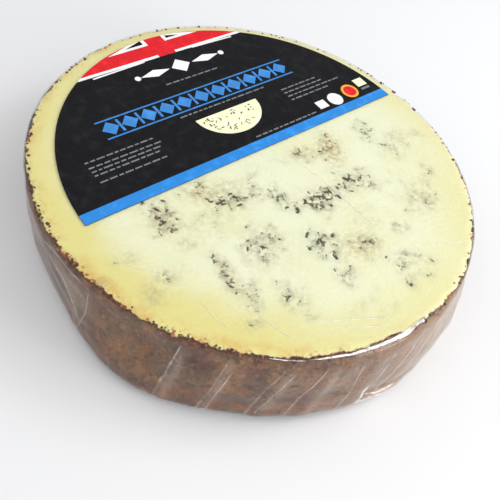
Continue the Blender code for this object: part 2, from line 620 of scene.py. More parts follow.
@dataclass(frozen=True)
class CheeseFinish:
    """The cut paste with its veins, and the rind round it.

    Args:
        cream: The paste in the middle.
        butter: The paste in cloudy patches.
        straw: The paste towards the rind.
        amber: The paste just inside the rind, in patches.
        halo: The soft grey-green round the veins.
        stain: The tan stain beside some veins.
        vein_dark: The veins' darkest mould.
        vein_olive: The veins' paler mould.
        rind_taupe: The rind's ground.
        rind_plum: Its reddish-purple clouds.
        rind_tan: Its lighter clouds.
        rind_olive: Its greenish patches.
        rind_painted_light: The rind at the right, painted paler as if lit from that side.
        rind_rust: Its orange-brown spots.
        rind_dark: Its dark spots.
        rind_dust: Its pale dusty specks.
        crumb: The crumbly line at the cut edge.
        ember: The orange flecks beside that line.
    """

    cream: str = "EBEDCC"
    butter: str = "E8E9BE"
    straw: str = "E2D98C"
    amber: str = "D8B260"
    halo: str = "A3A287"
    stain: str = "BE9A5C"
    vein_dark: str = "23261D"
    vein_olive: str = "55543C"
    rind_taupe: str = "664833"
    rind_plum: str = "502E26"
    rind_tan: str = "865D38"
    rind_olive: str = "544729"
    rind_painted_light: str = "A08066"
    rind_rust: str = "7E4820"
    # rind_dark: Its dark spots, and the darker foot of the wall.
    rind_dark: str = "261611"
    rind_dust: str = "B08A68"
    crumb: str = "43190F"
    ember: str = "9C5222"

    def paste(self, sheet: Sheet, ragged: bpy.types.NodeSocket) -> bpy.types.NodeSocket:
        """The colour of the cut face.

        Args:
            sheet: The material being made.
            ragged: Millimetres in from the rind, made uneven.

        Returns:
            The colour.
        """
        edge = sheet.stored("edge_mm")
        warm = sheet.stored("warm")
        clouds = sheet.eased(sheet.grain(26.0, 5.0, 0.6), 0.36, 0.66)
        colour = sheet.blend(clouds, self.cream, self.butter)
        # Yellower towards the rind, and amber and flecked beside it
        drifting = sheet.plus(edge, sheet.times(sheet.grain(40.0, 4.0, 0.6), 22.0))
        toward_rim = sheet.times(sheet.eased(drifting, 42.0, 12.0), sheet.plus(warm, 0.35))
        colour = sheet.blend(toward_rim, colour, self.straw)
        patchy = sheet.eased(sheet.grain(85.0, 5.0, 0.65), 0.4, 0.66)
        at_rim = sheet.times(sheet.eased(ragged, 8.0, 1.5), sheet.times(patchy, warm))
        colour = sheet.blend(at_rim, colour, self.amber)
        flecked = sheet.times(sheet.eased(ragged, 4.0, 1.0), sheet.plus(warm, 0.1))
        flecks = sheet.times(flecked, sheet.eased(sheet.grain(560.0, 5.0, 0.75), 0.54, 0.66))
        colour = sheet.blend(flecks, colour, self.ember)
        # The soft grey and the tan stain round the veins
        soft = sheet.eased(sheet.grain(300.0, 4.0, 0.65), 0.34, 0.66)
        around = sheet.eased(sheet.grain(210.0, 5.0, 0.65), 0.42, 0.68)
        around = sheet.times(sheet.times(sheet.stored("halo"), around), 0.55)
        grey = sheet.plus(sheet.times(sheet.stored("smudge"), soft), around)
        colour = sheet.blend(sheet.maths("MINIMUM", grey, 0.85), colour, self.halo)
        tan = sheet.eased(sheet.grain(420.0, 4.0, 0.65), 0.4, 0.62)
        colour = sheet.blend(sheet.times(sheet.stored("stain"), tan), colour, self.stain)
        # The veins, with jagged outlines
        jagged = sheet.times(sheet.minus(sheet.grain(600.0, 5.0, 0.72, 0.5), 0.5), 1.9)
        core = sheet.eased(sheet.plus(sheet.stored("vein"), jagged), 0.44, 0.76)
        tone = sheet.eased(sheet.grain(330.0, 3.0), 0.42, 0.62)
        mould = sheet.blend(tone, self.vein_dark, self.vein_olive)
        return sheet.blend(sheet.times(core, 0.95), colour, mould)

    def rind(self, sheet: Sheet, ragged: bpy.types.NodeSocket) -> bpy.types.NodeSocket:
        """The colour of the rind.

        Args:
            sheet: The material being made.
            ragged: Millimetres in from the rind, made uneven, below 0 down the side.

        Returns:
            The colour.
        """
        broad = sheet.eased(sheet.grain(38.0, 5.0, 0.65, 0.5), 0.38, 0.6)
        colour = sheet.blend(broad, self.rind_taupe, self.rind_plum)
        light = sheet.eased(sheet.grain(64.0, 5.0, 0.7, 0.6), 0.47, 0.62, 0.85)
        colour = sheet.blend(light, colour, self.rind_tan)
        green = sheet.eased(sheet.grain(52.0, 5.0, 0.65, 0.3), 0.5, 0.64, 0.75)
        colour = sheet.blend(green, colour, self.rind_olive)
        # Painted light: the right side of the rind made paler, as if lit from the right
        colour = sheet.blend(sheet.stored("pale"), colour, self.rind_painted_light)
        low = sheet.eased(sheet.stored("edge_mm"), -18.0, -44.0, 0.5)
        rusty = sheet.plus(sheet.grain(120.0, 5.0, 0.7, 0.6), sheet.times(low, 0.14))
        colour = sheet.blend(sheet.eased(rusty, 0.54, 0.68, 0.85), colour, self.rind_rust)
        spotted = sheet.eased(sheet.grain(210.0, 6.0, 0.8, 0.5), 0.52, 0.63, 0.7)
        colour = sheet.blend(spotted, colour, self.rind_dark)
        dusted = sheet.eased(sheet.grain(520.0, 5.0, 0.75, 0.4), 0.55, 0.65, 0.42)
        colour = sheet.blend(dusted, colour, self.rind_dust)
        speckled = sheet.eased(sheet.grain(1000.0, 5.0, 0.75), 0.53, 0.63, 0.6)
        colour = sheet.blend(speckled, colour, self.rind_dark)
        # Darker towards the foot of the wall
        foot = sheet.eased(sheet.stored("edge_mm"), -45.5, -49.0, 0.7)
        colour = sheet.blend(foot, colour, self.rind_dark)
        crumbs = sheet.eased(ragged, -2.4, -0.2)
        bright = sheet.eased(sheet.grain(260.0, 4.0, 0.7), 0.52, 0.66, 0.8)
        line = sheet.blend(bright, self.crumb, self.ember)
        return sheet.blend(sheet.times(crumbs, 0.9), colour, line)

    def material(self) -> bpy.types.Material:
        """Makes the finish: rind outside and paste inside of a ragged line.

        Returns:
            The material.
        """
        sheet = Sheet("cheese_paste_and_rind")
        fine = sheet.times(sheet.minus(sheet.grain(430.0, 5.0, 0.75), 0.5), 4.2)
        wide = sheet.times(sheet.minus(sheet.grain(90.0, 4.0, 0.6), 0.5), 5.5)
        ragged = sheet.plus(sheet.stored("edge_mm"), sheet.plus(fine, wide))
        inside = sheet.eased(ragged, -0.25, 0.35)
        colour = sheet.blend(inside, self.rind(sheet, ragged), self.paste(sheet, ragged))
        return sheet.surface(
            colour,
            sheet.minus(0.8, sheet.times(inside, 0.25)),
            Normal=sheet.relief(sheet.grain(520.0, 6.0, 0.7), 0.0006, 0.7),
            Subsurface_Weight=0.06,
            Subsurface_Radius=(0.003, 0.0024, 0.0014),
            Subsurface_Scale=1.0,
        )


@dataclass(frozen=True)
class CrumbFinish:
    """The dry dark crumbs of rind dragged along the cut edge.

    Args:
        dark: Most of the crumbs.
        light: The few lighter ones.
    """

    dark: str = "4A2115"
    light: str = "A8683A"

    def material(self) -> bpy.types.Material:
        """Makes the finish.

        Returns:
            The material.
        """
        sheet = Sheet("rind_crumb")
        share = sheet.eased(sheet.grain(170.0, 3.0, 0.6), 0.5, 0.62)
        normal = sheet.relief(sheet.grain(1500.0, 3.0), 0.0003, 0.6)
        return sheet.surface(sheet.blend(share, self.dark, self.light), 0.8, Normal=normal)


@dataclass(frozen=True)
class FilmFinish:
    """Thin clear film: what lies under it shows, under a gloss and a little milkiness, part of which is
    painted highlight.

    Args:
        tint: What the film lets through.
        milk_and_highlight: Its colour where it is doubled or stands off the cheese, and of the painted
            highlights on the front rim band, the right side and the flap.
        gloss_rough: The gloss's roughness.
        ior: The film's index, which sets its gloss.
    """

    tint: str = "FCFCFC"
    milk_and_highlight: str = "E0CBB8"
    gloss_rough: float = 0.1
    ior: float = 1.28

    def material(self) -> bpy.types.Material:
        """Makes the finish.

        Returns:
            The material.
        """
        sheet = Sheet("clear_film")
        fine = sheet.times(sheet.grain(340.0, 3.0, 0.6, 0.8), 0.22)
        normal = sheet.relief(sheet.plus(sheet.grain(60.0, 4.0, 0.6, 1.2), fine), 0.0009, 0.5)
        clear = sheet.node("BsdfTransparent", Color=self.tint)
        milk_and_highlight = sheet.node("BsdfDiffuse", Color=self.milk_and_highlight, Normal=normal)
        gloss = sheet.node("BsdfGlossy", Roughness=self.gloss_rough, Normal=normal)
        # Seen from behind, the skin takes the inverse index, so that it lets all light out again
        behind = sheet.node("NewGeometry").outputs["Backfacing"]
        index = sheet.minus(self.ior, sheet.times(behind, self.ior - 1.0 / self.ior))
        fresnel = sheet.node("Fresnel", IOR=index, Normal=normal)
        broken = sheet.eased(sheet.grain(90.0, 5.0, 0.65, 0.9), 0.15, 0.75)
        cloudy = sheet.times(sheet.stored("milk_and_highlight"), sheet.plus(broken, 0.25))
        return sheet.finish(sheet.mixed(fresnel.outputs[0], sheet.mixed(cloudy, clear, milk_and_highlight), gloss))


@dataclass(frozen=True)
class CreaseFinish:
    """The film's folds and wrinkles, whitish and glossy where the film is doubled, their white partly a
    painted highlight, and the painted highlight strips along the front rim.

    Args:
        white: Their colour, also the colour of the painted highlights.
    """

    white: str = "F6F1EE"

    def material(self) -> bpy.types.Material:
        """Makes the finish, which shows as much as the mesh's own number says.

        Returns:
            The material.
        """
        sheet = Sheet("film_fold_and_highlight")
        clear = sheet.node("BsdfTransparent")
        solid = sheet.node("BsdfPrincipled", Base_Color=self.white, Roughness=0.4)
        broken = sheet.plus(sheet.eased(sheet.grain(240.0, 4.0, 0.65), 0.35, 0.6), 0.35)
        share = sheet.maths("MINIMUM", sheet.times(sheet.stored("whiteness_and_highlight"), broken), 1.0)
        return sheet.finish(sheet.mixed(share, clear, solid))


class Ink(Enum):
    """The label's printed colours."""

    BLACK = "141416"
    BLUE = "3084D0"
    SOFT_BLUE = "4084C8"
    RED = "D6232B"
    WHITE = "ECECEC"
    GREY = "77797C"
    CREAM = "EDEDC6"
    AMBER = "E8A33A"
    OLIVE = "5E5F4C"


@dataclass(frozen=True)
class InkFinish:
    """Glossy print under clear varnish, slightly creased.

    Args:
        ink: The printed colour.
        rough: The varnish's roughness.
    """

    ink: Ink
    rough: float = 0.24

    def material(self) -> bpy.types.Material:
        """Makes the finish.

        Returns:
            The material.
        """
        sheet = Sheet("ink_" + self.ink.name.lower())
        base = paint(self.ink.value)
        worn = tuple(min(part * 1.35 + 0.006, 1.0) for part in base[:3]) + (1.0,)
        colour = sheet.blend(sheet.eased(sheet.grain(180.0, 4.0, 0.6), 0.45, 0.75), base, worn)
        waves = sheet.grain(1.0, 4.0, 0.6, 0.9, sheet.stretched((26.0, 70.0, 1.0), 28.0))
        fine = sheet.times(sheet.grain(210.0, 3.0, 0.5, 0.5), 0.12)
        normal = sheet.relief(sheet.plus(waves, fine), 0.0011, 0.3)
        rough = sheet.plus(self.rough - 0.06, sheet.times(sheet.grain(55.0, 3.0), 0.14))
        return sheet.surface(colour, rough, Normal=normal)


@dataclass
class DiscBlank:
    """A closed disc with finely divided faces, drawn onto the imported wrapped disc.

    Args:
        name: The piece's name.
        segments: Divisions round the rim.
        top_rings: Rings on the cut face.
        side_cuts: Cuts down the side.
        inset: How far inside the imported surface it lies.
        rim_round: The rounding of the cut edge.
        heart: The undivided middle of the cut face.
        under_rings: How far apart the rings on the lower face lie.
    """

    name: str
    segments: int
    top_rings: int
    side_cuts: int
    inset: float
    rim_round: float = 0.7 * MM
    heart: float = 12.0 * MM
    under_rings: tuple[float, ...] = (4.0 * MM, 4.0 * MM, 12.0 * MM, 30.0 * MM)

    def build(self) -> Mesher:
        """Models the blank.

        Returns:
            The mesh, ready for its relief.
        """
        height = PLACE.height()
        x, y = PLACE.middle()
        Mesher.clear_selection()
        bpy.ops.mesh.primitive_cylinder_add(
            vertices=self.segments,
            radius=PLACE.radius,
            depth=height,
            end_fill_type="NGON",
            location=(x, y, height / 2.0),
        )
        piece = bpy.context.object
        piece.name = self.name
        piece.data.name = self.name
        bpy.ops.object.transform_apply(location=True, rotation=True, scale=True)
        mesher = Mesher(piece)
        self.divide(mesher, height)
        self.draw_on(mesher)
        return mesher

    def divide(self, mesher: Mesher, height: float) -> None:
        """Divides the side and both faces, and rounds the rims.

        Args:
            mesher: The mesh.
            height: The disc's thickness.
        """
        mesher.edit()
        mesher.pick("EDGE", lambda e: abs(e.verts[0].co.z - e.verts[1].co.z) > height / 2.0)
        bpy.ops.mesh.subdivide(number_cuts=self.side_cuts)
        mesher.pick("EDGE", lambda e: min(v.co.z for v in e.verts) > height - 1e-5)
        bpy.ops.mesh.bevel(offset=self.rim_round, segments=2, affect="EDGES")
        mesher.pick("FACE", lambda f: f.calc_center_median().z > height - 1e-5 and len(f.verts) > 4)
        for _ in range(self.top_rings):
            bpy.ops.mesh.inset(thickness=(PLACE.radius - self.heart) / self.top_rings)
        bpy.ops.mesh.poke()
        mesher.pick("FACE", lambda f: f.calc_center_median().z < 1e-5 and len(f.verts) > 4)
        for thickness in self.under_rings:
            bpy.ops.mesh.inset(thickness=thickness)
        bpy.ops.mesh.poke()
        mesher.leave()

    def draw_on(self, mesher: Mesher) -> None:
        """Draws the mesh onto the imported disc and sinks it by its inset.

        Args:
            mesher: The mesh.
        """
        wrap = mesher.piece.modifiers.new("draw_on", "SHRINKWRAP")
        wrap.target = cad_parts["cheese"]
        wrap.wrap_method = "NEAREST_SURFACEPOINT"
        sink = mesher.piece.modifiers.new("sink", "DISPLACE")
        sink.strength = -self.inset
        sink.mid_level = 0.0
        mesher.apply_all()


@dataclass(frozen=True)
class VeinPatch:
    """A patch of short blue veins on the cut face, in millimetres and degrees.

    Args:
        x: Its middle along X.
        y: Its middle along Y.
        long: Its reach along its own direction.
        wide: Its reach across.
        turn: Its direction.
        strokes: How many dashes it has.
        dark: How dark its dashes are.
        halo: How grey the paste round it is.
        stain: How tan the paste round it is.
    """

    x: float
    y: float
    long: float
    wide: float
    turn: float
    strokes: int
    dark: float = 0.9
    halo: float = 0.5
    stain: float = 0.0


@dataclass
class Cheese:
    """The disc of cheese inside the film.

    Args:
        blank: Its undressed mesh.
        finish: Its paste and rind.
        patches: Its veins, patch by patch.
        seed: The seed of the dashes' draw.
    """

    blank: DiscBlank = field(
        default_factory=lambda: DiscBlank(
            "cheese_disc", segments=480, top_rings=96, side_cuts=36, inset=0.35 * MM
        )
    )
    finish: CheeseFinish = CheeseFinish()
    patches: tuple[VeinPatch, ...] = (
        VeinPatch(-60, -5, 10, 6, 80, 30, 0.95, 0.7, 0.3),
        VeinPatch(-37, -2, 5, 4, 20, 8, 0.6, 0.5, 0.8),
        VeinPatch(-40, 2, 7, 4, 0, 9, 0.7, 0.5),
        VeinPatch(-27, -10, 11, 7, -15, 32, 0.9, 0.8, 0.2),
        VeinPatch(-9, -18, 5, 6, 60, 14, 0.8, 0.5),
        VeinPatch(-8, -26, 4, 3, 60, 5, 0.7, 0.3),
        VeinPatch(6, -30, 15, 6, -15, 44, 1.0, 0.7, 0.15),
        VeinPatch(33, -31, 10, 7, -20, 30, 0.9, 0.8, 0.2),
        VeinPatch(24, -6, 9, 4, -20, 16, 0.75, 0.5, 0.3),
        VeinPatch(37, -10, 9, 5, 60, 14, 0.75, 0.5, 0.9),
        VeinPatch(62, -8, 8, 5, 60, 14, 0.85, 0.5),
        VeinPatch(70, -22, 10, 7, 20, 15, 0.75, 0.6, 0.2),
        VeinPatch(55, -55, 10, 8, 50, 22, 0.65, 0.7, 0.2),
        VeinPatch(72, -46, 7, 4, 40, 7, 0.6, 0.4),
        VeinPatch(-32, -39, 10, 9, 60, 38, 0.72, 0.8, 0.15),
        VeinPatch(-7, -52, 8, 8, 60, 30, 1.0, 0.8),
        VeinPatch(7, -61, 9, 6, -10, 20, 0.8, 0.7, 0.6),
        VeinPatch(30, -62, 5, 5, 0, 8, 0.6, 0.5),
        VeinPatch(20, -78, 10, 6, -60, 18, 0.75, 0.7),
        VeinPatch(12, -84, 6, 4, 60, 9, 0.7, 0.5),
        VeinPatch(-12, -70, 5, 5, 0, 10, 0.75, 0.6),
        VeinPatch(-55, -42, 11, 3, 78, 22, 0.8, 0.5, 0.35),
        VeinPatch(-52, -56, 7, 4, 70, 13, 0.75, 0.5),
        VeinPatch(-80, -33, 11, 5, 15, 14, 0.6, 0.45, 0.2),
        VeinPatch(-86, -15, 4, 3, 0, 5, 0.5, 0.4),
        VeinPatch(-40, -67, 9, 6, 75, 19, 0.8, 0.6),
        VeinPatch(-62, -66, 4, 2, 0, 4, 0.6, 0.3),
        VeinPatch(-100, -21, 3, 2, 0, 3, 0.55, 0.3),
        VeinPatch(-45, -20, 16, 7, 10, 9, 0.6, 0.2, 0.15),
        VeinPatch(20, -46, 16, 9, 0, 8, 0.55, 0.15),
        VeinPatch(-3, -4, 40, 6, 0, 12, 0.6, 0.15),
        VeinPatch(48, -38, 16, 12, 0, 8, 0.5, 0.1),
        VeinPatch(-20, -84, 16, 7, 0, 8, 0.55, 0.15),
        VeinPatch(84, -28, 7, 12, 0, 6, 0.5, 0.15),
    )
    seed: int = 7

    def strokes(self) -> list[tuple[np.ndarray, np.ndarray, float, float]]:
        """Draws the short crooked dashes of every patch.

        Returns:
            Each dash's start, its end, its darkness and its half width, in millimetres.
        """
        draw = np.random.default_rng(self.seed)
        found = []
        for patch in self.patches:
            turn = math.radians(patch.turn)
            for _ in range(patch.strokes):
                along = np.clip(draw.normal(), -1.8, 1.8) * patch.long * 0.55
                across = np.clip(draw.normal(), -1.8, 1.8) * patch.wide * 0.55
                x = patch.x + along * math.cos(turn) - across * math.sin(turn)
                y = patch.y + along * math.sin(turn) + across * math.cos(turn)
                heading = turn + draw.normal() * 0.8
                width = draw.uniform(0.45, 1.05)
                dark = patch.dark * draw.uniform(0.45, 1.05)
                for _ in range(draw.integers(1, 4)):
                    length = draw.uniform(0.5, 2.0)
                    start = np.array((x, y))
                    x += length * math.cos(heading)
                    y += length * math.sin(heading)
                    found.append((start, np.array((x, y)), dark, width))
                    heading += draw.normal() * 0.8
        return found

    def veins(self, flat: np.ndarray) -> tuple[np.ndarray, np.ndarray]:
        """How strong the veins and the grey round them are at many places of the cut face.

        Args:
            flat: Their x and y in millimetres.

        Returns:
            The veins' strength and the soft grey's strength, each 0 to 1.
        """
        core = np.zeros(len(flat))
        clear = np.ones(len(flat))
        for start, end, dark, width in self.strokes():
            run = end - start
            close = np.flatnonzero(np.abs(flat - (start + end) / 2.0).max(axis=1) < 6.5)
            near = flat[close]
            share = np.clip(((near - start) @ run) / (run @ run), 0.0, 1.0)
            gap = np.linalg.norm(near - start - share[:, None] * run, axis=1)
            core[close] = np.maximum(core[close], dark * np.exp(-((gap / width) ** 2)))
            clear[close] *= 1.0 - 0.3 * dark * np.exp(-((gap / 2.0) ** 2))
        return core, 1.0 - clear

    def patch_field(self, flat: np.ndarray, amounts: Sequence[float]) -> np.ndarray:
        """A soft field round the patches.

        Args:
            flat: Places in millimetres.
            amounts: Each patch's strength.

        Returns:
            The field at each place.
        """
        total = np.zeros(len(flat))
        for patch, amount in zip(self.patches, amounts):
            turn = math.radians(patch.turn)
            x, y = flat[:, 0] - patch.x, flat[:, 1] - patch.y
            along = (x * math.cos(turn) + y * math.sin(turn)) / (patch.long * 0.8)
            across = (y * math.cos(turn) - x * math.sin(turn)) / (patch.wide * 0.8)
            total = np.maximum(total, amount * np.exp(-0.5 * (along**2 + across**2)))
        return total

    def shape(self, points: np.ndarray, spots: Spots, edge: np.ndarray, sunk: np.ndarray) -> np.ndarray:
        """Gives the disc its crags, its ragged cut edge and its slightly uneven cut face.

        Args:
            points: The smooth disc's points, in metres.
            spots: Where they lie.
            edge: Millimetres in from the rind, below 0 down the side.
            sunk: How far the veins sink, in millimetres.

        Returns:
            The shaped points, in metres.
        """
        crag = noise_at(points, 3.4 * MM, 2.0) + 0.6 * noise_at(points, 1.5 * MM, 5.0)
        side = ramp(spots.drop, 0.2, 1.6) * ramp(spots.above, 0.5, 4.0)
        near_rim = np.exp(-(((edge - 0.8) / 2.0) ** 2))
        bridged = spots.near(257.0, 14.0) * np.exp(-((spots.drop / 7.0) ** 2))
        bridged *= ramp(spots.radius, 98.0, 104.0)
        out = side * (crag * 0.32 - 0.18) - near_rim * (0.25 + 0.5 * crag) - bridged * 1.3
        down = sunk + near_rim * 0.35 * (1.0 + 1.4 * crag)
        waves = noise_at(points, 14.0 * MM, 9.0) * 0.06 * ramp(spots.drop, 1.0, 0.2)
        shaped = points + spots.outward() * ((np.minimum(out, 0.1) - spots.dents()) * MM)[:, None]
        shaped[:, 2] += (np.minimum(waves, 0.05) - np.maximum(down, -0.1)) * MM
        return shaped

    def build(self) -> bpy.types.Object:
        """Models the cheese.

        Returns:
            The piece.
        """
        mesher = self.blank.build()
        points = mesher.points()
        spots = Spots(points)
        edge = np.where(spots.drop < 1.2, PLACE.radius / MM - 0.4 - spots.radius, -spots.drop)
        on_top = ramp(spots.drop, 1.0, 0.2)
        core, soft = self.veins(spots.flat)
        mesher.move_to(self.shape(points, spots, edge, 0.4 * core * on_top))
        halo = self.patch_field(spots.flat, [patch.halo for patch in self.patches])
        stain = self.patch_field(spots.flat, [patch.stain for patch in self.patches])
        warm = 0.15 + 0.85 * spots.near(205.0, 30.0) + 0.35 * spots.near(130.0, 40.0)
        mesher.store("edge_mm", edge - 0.1 - 1.4 * spots.near(225.0, 50.0))
        mesher.store("vein", core * on_top)
        mesher.store("smudge", soft * on_top)
        mesher.store("halo", halo * on_top)
        mesher.store("stain", stain * on_top)
        # Painted light: where the rind is painted paler at the right
        mesher.store("pale", 0.8 * spots.near(290.0, 30.0))
        mesher.store("warm", np.minimum(warm, 1.0))
        mesher.smooth(60.0)
        piece = mesher.piece
        piece.data.materials.append(self.finish.material())
        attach(piece, "root")
        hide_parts("cheese")
        return piece


@dataclass
class RindCrumbs:
    """Small crumbs of rind along the cut edge, under the film.

    Args:
        count: How many places are tried, most of them taken at the front and left.
        finish: Their colour.
        seed: The seed of their draw.
    """

    count: int = 420
    finish: CrumbFinish = CrumbFinish()
    seed: int = 19

    def build(self) -> bpy.types.Object:
        """Models the crumbs.

        Returns:
            All of them, as one piece.
        """
        draw = np.random.default_rng(self.seed)
        crumbs = []
        for _ in range(self.count):
            bearing = draw.uniform(0.0, 360.0)
            turn = math.radians(bearing)
            if draw.uniform(0.0, 1.0) > 0.25 + near_bearing(bearing, 225.0, 55.0):
                continue
            reach = 103.4 + draw.normal() * 0.7
            size = draw.uniform(0.25, 0.75)
            height = 50.4 - draw.uniform(0.0, 1.6)
            point, normal = PLACE.on_wrap(reach * math.cos(turn), reach * math.sin(turn), height)
            place = point - normal * (size * 0.75 + 0.12) * MM
            shape = Vector((draw.uniform(0.7, 1.6), draw.uniform(0.7, 1.6), 0.75)) * size * MM
            crumbs.append(BLANKS.copy(BLANKS.lump(), place, shape, draw.uniform(0.0, 180.0)))
        piece = joined("rind_crumbs", crumbs)
        mesher = Mesher(piece)
        points = mesher.points()
        shake = np.column_stack([noise_at(points, 0.5 * MM, seed) for seed in (1.0, 4.0, 8.0)])
        mesher.move_to(points + shake * 0.12 * MM)
        piece.data.materials.append(self.finish.material())
        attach(piece, "root")
        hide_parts("cheese")
        return piece


@dataclass
class Film:
    """The tight clear film: one closed skin, milky where it is doubled or hangs free, with painted
    highlights on it at the front rim and the flap.

    Args:
        blank: Its undressed mesh.
        finish: Its clear, glossy stuff.
        pleats: The bearings of the pleats on the side.
        slant: How many degrees a pleat's top lies past its foot.
    """

    blank: DiscBlank = field(
        default_factory=lambda: DiscBlank(
            "film_wrap", segments=360, top_rings=40, side_cuts=32, inset=0.05 * MM
        )
    )
    finish: FilmFinish = FilmFinish()
    pleats: tuple[float, ...] = (184.0, 211.0, 221.0, 233.5, 244.0, 256.0, 287.0, 299.0)
    slant: float = 5.0

    def build(self) -> bpy.types.Object:
        """Models the film.

        Returns:
            The piece.
        """
        mesher = self.blank.build()
        points = mesher.points()
        spots = Spots(points)
        mesher.move_to(points - spots.outward() * (spots.dents() * MM)[:, None])
        side = ramp(spots.drop, 0.5, 3.0)
        # Milky beside each pleat
        milk_and_highlight = 0.015 + 0.01 * side
        on_wall = ramp(spots.drop, 2.0, 9.0) * ramp(spots.above, 1.0, 6.0)
        for pleat in self.pleats:
            line = pleat + self.slant * (0.5 - spots.drop / spots.drop.max())
            milk_and_highlight = np.maximum(milk_and_highlight, 0.2 * spots.near(line + 1.0, 0.9) * on_wall)
        # Milky where it hangs free at the right and the front, at the hollow, and on the doubled flap;
        # partly painted light, as below
        # Painted light: the right side, where the film hangs free, is milky and also painted brighter, as
        # if lit from the right
        milk_and_highlight = np.maximum(milk_and_highlight, 0.45 * spots.near(297.0, 20.0) * side)
        # Painted highlight: the front wall under the rim band, where the film spans the rim, whitened like
        # the film's gloss
        milk_and_highlight = np.maximum(milk_and_highlight, 0.13 * spots.near(264.0, 11.0) * side)
        hollow = spots.near(186.0, 3.5) * np.exp(-(((spots.above - 36.0) / 9.0) ** 2))
        milk_and_highlight = np.maximum(milk_and_highlight, 0.22 * hollow)
        # Painted highlight: the doubled flap whitened like a glint on the fold
        flap = spots.near(264.0, 4.0) * ramp(spots.above, 18.0, 10.0) * ramp(spots.above, 0.5, 3.0)
        milk_and_highlight = np.maximum(milk_and_highlight, 0.65 * flap)
        mesher.store("milk_and_highlight", milk_and_highlight)
        mesher.smooth(60.0)
        piece = mesher.piece
        piece.data.materials.append(self.finish.material())
        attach(piece, "root")
        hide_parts("cheese")
        return piece


class Lie(Enum):
    """Where a crease lies, which sets what its stops mean."""

    WALL = "bearing and height"
    FACE = "x and y on the cut face"
    RIM = "bearing and reach along the top edge"


@dataclass(frozen=True)
class Crease:
    """One fold or wrinkle of the film, a tapered ridge, or a painted highlight strip along the rim.

    Args:
        lie: Where it lies.
        stops: The places it runs through.
        start: Its half width at its first stop, in millimetres.
        finish: Its half width at its last stop.
        whiteness_and_highlight: How white it is, 0 to 1, partly painted highlight, wholly so on the rim
            strips and the flap.
        wander: How far it wavers, in millimetres.
    """

    lie: Lie
    stops: tuple[tuple[float, float], ...]
    start: float = 0.3
    finish: float = 0.3
    whiteness_and_highlight: float = 0.5
    wander: float = 0.3


